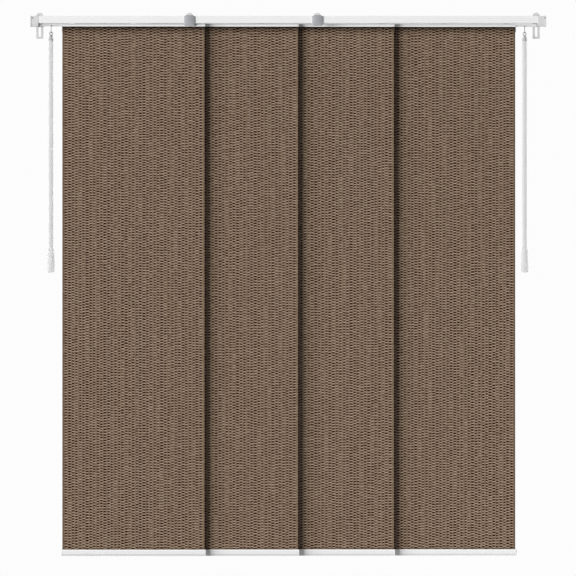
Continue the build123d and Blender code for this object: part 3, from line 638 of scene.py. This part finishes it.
FINISHES = {
    "rail_white": dict(colour=grey(241), spread=0.006, roughness=0.42, scale=40, stretch=ALONG_X, bump=0.04,
                       coat=0.15, bands=RAIL_GROOVE_SHADE),
    "carrier_white": dict(colour=grey(238), spread=0.008, roughness=0.4, scale=40, stretch=ALONG_X, bump=0.04,
                          coat=0.15, bands=CARRIER_SHADE_BAND),
    "bottom_white": dict(colour=grey(232), spread=0.006, roughness=0.36, scale=40, stretch=ALONG_X, bump=0.04,
                         coat=0.2, bands=BOTTOM_HIGHLIGHT_AND_SHADE),
    "cap_grey": dict(colour=grey(215), spread=0.02, roughness=0.45, scale=70, bump=0.15),
    "clip_grey": dict(colour=srgb(161, 162, 165), spread=0.03, roughness=0.4, scale=70, bump=0.15),
    "bracket_grey": dict(colour=grey(205), spread=0.02, roughness=0.4, scale=90, stretch=DOWN_BRACKET,
                         metallic=0.35, bump=0.1),
    "bright_steel": dict(colour=grey(170), spread=0.03, roughness=0.3, scale=120, metallic=1.0, bump=0.1),
    "glider_nylon": dict(colour=grey(228), spread=0.01, roughness=0.4, scale=80, bump=0.1),
    "carrier_plug": dict(colour=grey(222), spread=0.01, roughness=0.45, scale=80, bump=0.12, bands=PLUG_SHADE_BANDS),
    "bottom_plug": dict(colour=grey(229), spread=0.01, roughness=0.4, scale=80, bump=0.12),
    "tape": dict(colour=grey(225), spread=0.03, roughness=0.9, scale=500, bump=0.6),
    "arm_grey": dict(colour=grey(205), spread=0.02, roughness=0.45, scale=80, bump=0.12),
    "link_wire": dict(colour=grey(100), spread=0.02, roughness=0.3, scale=120, metallic=0.3, bump=0.05),
    "wand_grey": dict(colour=grey(194), spread=0.02, roughness=0.4, scale=80, bump=0.01, clear=0.6, shine=0.2),
    "wand_tube": dict(colour=grey(217), spread=0.01, roughness=0.4, scale=50, stretch=DOWN_TUBE, bump=0.01,
                      clear=0.85, shine=0.2, bands=TUBE_BANDS),
    "wand_grip": dict(colour=grey(222), spread=0.01, roughness=0.4, scale=60, bump=0.01, clear=0.85, shine=0.2),
}
materials = {name: finish_material(name, **finish) for name, finish in FINISHES.items()}


def dress_frame():
    """Give each carried-over node the material of its slot."""
    for row in frame["record"]["subparts"]:
        node = frame["nodes"][row["node"]]
        material = materials.get(row["material_slot"])
        if material is None:
            continue
        if node.material_slots:
            node.material_slots[0].material = material
        else:
            node.data.materials.append(material)


def clip_outline(low, high, shoulder):
    """Outline of a clip's front about its middle: right half from the foot up to the hood, then its mirror image."""
    half = (high.x - low.x) / 2
    right = arc((half - CLIP_CORNER, low.z + CLIP_CORNER), CLIP_CORNER, -90, 0, 12)
    right += [(half, low.z + (shoulder - low.z) * k / 8) for k in range(3, 8)]
    right += arc((half - CLIP_SHOULDER, shoulder - CLIP_SHOULDER), CLIP_SHOULDER, 0, 90, 4)
    right += [(CLIP_HOOD, shoulder)]
    right += arc((CLIP_HOOD - CLIP_HOOD_ROUND, high.z - CLIP_HOOD_ROUND), CLIP_HOOD_ROUND, 0, 90, 6)
    right += [(CLIP_HOOD / 2, high.z)]
    return right + [(-x, z) for x, z in right[::-1]]


def clip_shell(low, high, rail_low, rail_high):
    """Thin moulded front of a clip, crowned both ways and open towards the rail."""
    x, back, shoulder = (low.x + high.x) / 2, rail_low.y, rail_high.z
    half, centre = (high.x - low.x) / 2, (low.z + shoulder) / 2
    belly = (shoulder + rail_low.z) / 2
    outline = clip_outline(low, high, shoulder)
    count = len(outline)

    def front(u, z):
        """Depth of the front, which is foremost at the middle of the belly."""
        across = CLIP_CROWN * (u / half) ** 2
        if z > belly:
            along = CLIP_LEAN * ((z - belly) / (high.z - belly)) ** 2
        else:
            along = CLIP_CURL * ((belly - z) / (belly - low.z)) ** 2
        return low.y + (across ** CLIP_BLEND + along ** CLIP_BLEND) ** (1 / CLIP_BLEND)

    def ring(share, depth):
        """The outline, drawn in towards its centre, at a depth for each point."""
        drawn = [(u * share, centre + (z - centre) * share) for u, z in outline]
        return [(x + u, depth(u, z), z) for u, z in drawn]

    rims = [(CLIP_FLAT * k / CLIP_RINGS, 0.0) for k in range(1, CLIP_RINGS + 1)] + list(CLIP_RIM)
    points = [(x, low.y, centre)]
    for share, fall in rims:
        points += ring(share, lambda u, z: min(front(u, z) + fall, back - CLIP_EDGE))
    points += ring(1.0, lambda u, z: back)
    points += ring(CLIP_HOLLOW, lambda u, z: back)
    points += ring(CLIP_HOLLOW, lambda u, z: min(front(u, z) + CLIP_WALL, back - CLIP_INNER_EDGE))
    points.append((x, low.y + CLIP_WALL, centre))
    rings = len(rims) + 3
    faces = []
    for k in range(count):
        after = (k + 1) % count
        faces.append([0, 1 + k, 1 + after])
        for step in range(rings - 1):
            a = 1 + step * count
            faces.append([a + k, a + count + k, a + count + after, a + after])
        a = 1 + (rings - 1) * count
        faces.append([a + after, a + k, len(points) - 1])
    return points, faces


def front_clip(side):
    """Moulded cover with a hood over the bracket's arm and a hook under the rail."""
    node = f"front_clip_{side}"
    low, high = (Vector(v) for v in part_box(node))
    rail_low, rail_high = (Vector(v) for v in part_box("head_rail"))
    arm_low, arm_high = (Vector(v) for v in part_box("wall_bracket_2"))
    x, back, shoulder = (low.x + high.x) / 2, rail_low.y, rail_high.z
    arm = (arm_high.x - arm_low.x) / 2 + CLIP_GAP
    ceiling = shoulder + ARM_THICKNESS + CLIP_GAP
    hook_top = rail_low.z - CLIP_GAP
    parts = [clip_shell(low, high, rail_low, rail_high)]
    parts.append(slab((x - CLIP_HOOD, back - CLIP_SOFT, ceiling), (x + CLIP_HOOD, high.y, high.z), CLIP_SOFT))
    for sign in (-1, 1):
        inner, outer = sorted((x + sign * arm, x + sign * CLIP_HOOD))
        parts.append(slab((inner, back - CLIP_SOFT, shoulder), (outer, high.y, high.z - CLIP_SOFT), CLIP_SOFT))
    parts.append(slab((x - CLIP_HOOD, back - CLIP_SOFT, hook_top - HOOK_HEIGHT),
                      (x + CLIP_HOOD, back + HOOK_DEPTH, hook_top), CLIP_SOFT))
    piece = new_piece(f"{side}_front_clip", parts)
    piece.data.materials.append(materials["clip_grey"])
    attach(piece, "root")
    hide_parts(node)


def hang_panel(number):
    """Woven sheet of one panel, in place of its plain solid."""
    node = f"panel_{number}_fabric"
    low, high = (Vector(v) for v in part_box(node))
    seed = PANEL_SEED * number
    piece = cloth_mesh(f"woven_panel_{number}", low, high, seed)
    right_painted_shade = LAST_SELVAGE if number == PANELS[-1] else RIGHT_SELVAGE
    piece.data.materials.append(weave_material(f"woven_cloth_{number}", low, high, seed, right_painted_shade))
    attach(piece, f"panel_{number}")
    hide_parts(node)


def wire_link(side):
    """Wire link: closed loop, stem wound with its own tail, and an eye."""
    node = f"{side}_wand_link"
    low, high = (Vector(v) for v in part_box(node))
    x, y = (low.x + high.x) / 2, (low.y + high.y) / 2
    top = high.z - LINK_WIRE
    loop = rounded_loop(LOOP_WIDTH, LOOP_HEIGHT, LOOP_CORNER, (y, top - LOOP_HEIGHT / 2))
    parts = [tube([(x, a, b) for a, b in loop], LINK_WIRE, True)]
    eye_middle = low.z + LINK_WIRE + EYE
    parts.append(tube([(x, a, b) for a, b in circle((y, eye_middle), EYE, EYE_STEPS)], LINK_WIRE, True))
    stem_top, stem_low = top - LOOP_HEIGHT, eye_middle + EYE
    stem = [(x, y, stem_top), (x, y, (stem_top + stem_low) / 2), (x, y, stem_low)]
    parts.append(tube(stem, STEM_WIRE, False))
    steps = TAIL_TURNS * TAIL_STEPS
    tail = []
    for k in range(steps + 1):
        turn = math.tau * TAIL_TURNS * k / steps
        z = stem_top - TAIL_INSET + (stem_low - stem_top + 2 * TAIL_INSET) * k / steps
        tail.append((x + STEM_WIRE * math.cos(turn), y + STEM_WIRE * math.sin(turn), z))
    parts.append(tube(tail, TAIL_WIRE, False, TAIL_SIDES))
    piece = new_piece(f"{side}_wire_link", parts)
    piece.data.materials.append(materials["link_wire"])
    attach(piece, f"{side}_link")
    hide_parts(node)


def eyelet(side):
    """Moulded ring on a tapered cap that skirts the tube's top."""
    node = f"{side}_wand_eyelet"
    low, high = (Vector(v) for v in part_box(node))
    tube_low, tube_high = (Vector(v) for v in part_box(f"{side}_wand_tube"))
    x, y = (tube_low.x + tube_high.x) / 2, (tube_low.y + tube_high.y) / 2
    ring_middle = high.z - RING_WIRE - RING
    parts = [tube([(a, y, b) for a, b in circle((x, ring_middle), RING, RING_STEPS)], RING_WIRE, True)]
    skirt = (high.x - low.x) / 2
    skirt_top = tube_high.z + CAP_GAP
    cap_top = ring_middle - RING
    profile = [(0, cap_top + CAP_DOME)] + [(CAP_NECK + out, cap_top + up) for out, up in NECK_ROUND]
    for k in range(1, CAP_STEPS):
        t = k / CAP_STEPS
        profile.append((CAP_NECK + (skirt - CAP_NECK) * t ** CAP_FLARE, cap_top + (skirt_top - cap_top) * t))
    profile += [(skirt + out, skirt_top + up) for out, up in SKIRT_ROUND]
    profile += [(SKIRT_HOLLOW[0], skirt_top + SKIRT_HOLLOW[1]), (0, skirt_top + SKIRT_FLOOR)]
    parts.append(lathe(profile, (x, y)))
    piece = new_piece(f"{side}_eyelet", parts)
    piece.data.materials.append(materials["wand_grey"])
    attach(piece, f"{side}_wand")
    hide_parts(node)


def wand_stick(side):
    """Straight milky tube of the wand, with softened ends."""
    node = f"{side}_wand_tube"
    low, high = (Vector(v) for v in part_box(node))
    radius = (high.x - low.x) / 2
    middle = ((low.x + high.x) / 2, (low.y + high.y) / 2)
    profile = [(0, high.z), (radius - TUBE_SOFT, high.z), (radius, high.z - TUBE_SOFT),
               (radius, low.z + TUBE_SOFT), (radius - TUBE_SOFT, low.z), (0, low.z)]
    piece = new_piece(f"{side}_tube", [lathe(profile, middle, TUBE_SIDES)])
    piece.data.materials.append(materials["wand_tube"])
    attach(piece, f"{side}_wand")
    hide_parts(node)


def grip(side):
    """Flared grip with a rounded foot and a soft shoulder."""
    node = f"{side}_wand_grip"
    low, high = (Vector(v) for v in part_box(node))
    x, y = (low.x + high.x) / 2, (low.y + high.y) / 2
    widest = (high.x - low.x) / 2
    foot, shoulder, flare_end = low.z, high.z - SHOULDER_DROP, high.z - FLARE_DROP
    profile = [(out, high.z + up) for out, up in GRIP_MOUTH]
    profile += arc((SHOULDER_MIDDLE[0], shoulder + SHOULDER_MIDDLE[1]), SHOULDER_ROUND, 90, 10, 5)
    for k in range(1, FLARE_STEPS + 1):
        t = k / FLARE_STEPS
        radius = SHOULDER_RADIUS + (widest - SHOULDER_RADIUS) * math.sin(t * math.pi / 2)
        profile.append((radius, shoulder + (flare_end - shoulder) * t))
    profile += [(widest, foot + GRIP_STRAIGHT), (widest, foot + GRIP_FOOT + GRIP_FOOT_TOP)]
    profile += arc((widest - GRIP_FOOT, foot + GRIP_FOOT), GRIP_FOOT, 0, -90, 8)
    profile += [(GRIP_FOOT, foot), (0, foot)]
    piece = new_piece(f"{side}_grip", [lathe(profile, (x, y))])
    piece.data.materials.append(materials["wand_grip"])
    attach(piece, f"{side}_wand")
    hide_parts(node)


def set_stage():
    """Pale floor below the blind."""
    size = FLOOR_REACH
    z = cad_box[0][2] - FLOOR_DROP
    mesh = bpy.data.meshes.new("floor")
    mesh.from_pydata([(-size, -size, z), (size, -size, z), (size, size, z), (-size, size, z)], [], [[0, 1, 2, 3]])
    floor = bpy.data.objects.new("floor", mesh)
    bpy.context.scene.collection.objects.link(floor)
    n = Nodes("pale_floor")
    grain = n.noise(FLOOR_GRAIN)
    n.put(n.shader.inputs["Base Color"], n.mix(grain, *(grey(v) for v in FLOOR_GREYS)))
    n.shader.inputs["Roughness"].default_value = FLOOR_ROUGHNESS
    n.shader.inputs["Specular IOR Level"].default_value = 0.0
    n.shader.inputs["Emission Color"].default_value = (1, 1, 1, 1)
    n.put(n.shader.inputs["Emission Strength"], n.math("MULTIPLY", n.seen(), FLOOR_GLOW))
    mesh.materials.append(n.material)


def set_light():
    """A broad soft key from the left of the room, a soft back light and an even fill; white to the camera."""
    middle = (Vector(cad_box[0]) + Vector(cad_box[1])) / 2
    for name, (direction, distance, (wide, tall), power) in (("key", KEY), ("back", BACK)):
        panel = bpy.data.lights.new(name, "AREA")
        panel.shape = "RECTANGLE"
        panel.size = wide
        panel.size_y = tall
        panel.energy = power
        lamp = bpy.data.objects.new(name, panel)
        away = Vector(direction).normalized()
        lamp.location = middle + away * distance
        lamp.rotation_euler = (-away).to_track_quat("-Z", "Y").to_euler()
        lamp.visible_camera = False
        lamp.visible_transmission = False
        bpy.context.scene.collection.objects.link(lamp)

    world = bpy.data.worlds.new("studio")
    bpy.context.scene.world = world
    world.use_nodes = True
    tree = world.node_tree
    background = tree.nodes["Background"]
    background.inputs["Color"].default_value = (1, 1, 1, 1)
    path = tree.nodes.new("ShaderNodeLightPath")
    seen = path.outputs["Is Camera Ray"]
    for name in ("Is Glossy Ray", "Is Transmission Ray"):
        both = tree.nodes.new("ShaderNodeMath")
        both.operation = "MAXIMUM"
        tree.links.new(seen, both.inputs[0])
        tree.links.new(path.outputs[name], both.inputs[1])
        seen = both.outputs[0]
    level = tree.nodes.new("ShaderNodeMapRange")
    tree.links.new(seen, level.inputs["Value"])
    level.inputs["To Min"].default_value = FILL
    level.inputs["To Max"].default_value = PAPER
    tree.links.new(level.outputs[0], background.inputs["Strength"])


def set_camera():
    """Long lens straight at the blind, with the photograph's frame."""
    low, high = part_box("head_rail")
    camera = bpy.data.cameras.new("camera")
    camera.sensor_width = SENSOR_MM
    camera.lens = SENSOR_MM * CAMERA_DISTANCE / FRAME_WIDTH
    camera.clip_end = CAMERA_REACH
    view = bpy.data.objects.new("camera", camera)
    view.location = (0, low[1] - CAMERA_DISTANCE, high[2] - FRAME_CENTRE_BELOW_RAIL)
    view.rotation_euler = (math.pi / 2, 0, 0)
    bpy.context.scene.collection.objects.link(view)
    bpy.context.scene.camera = view


dress_frame()
for number in PANELS:
    hang_panel(number)
for side in SIDES:
    front_clip(side)
    wire_link(side)
    eyelet(side)
    wand_stick(side)
    grip(side)
set_stage()
set_light()
set_camera()
bpy.context.scene.view_settings.view_transform = "Standard"
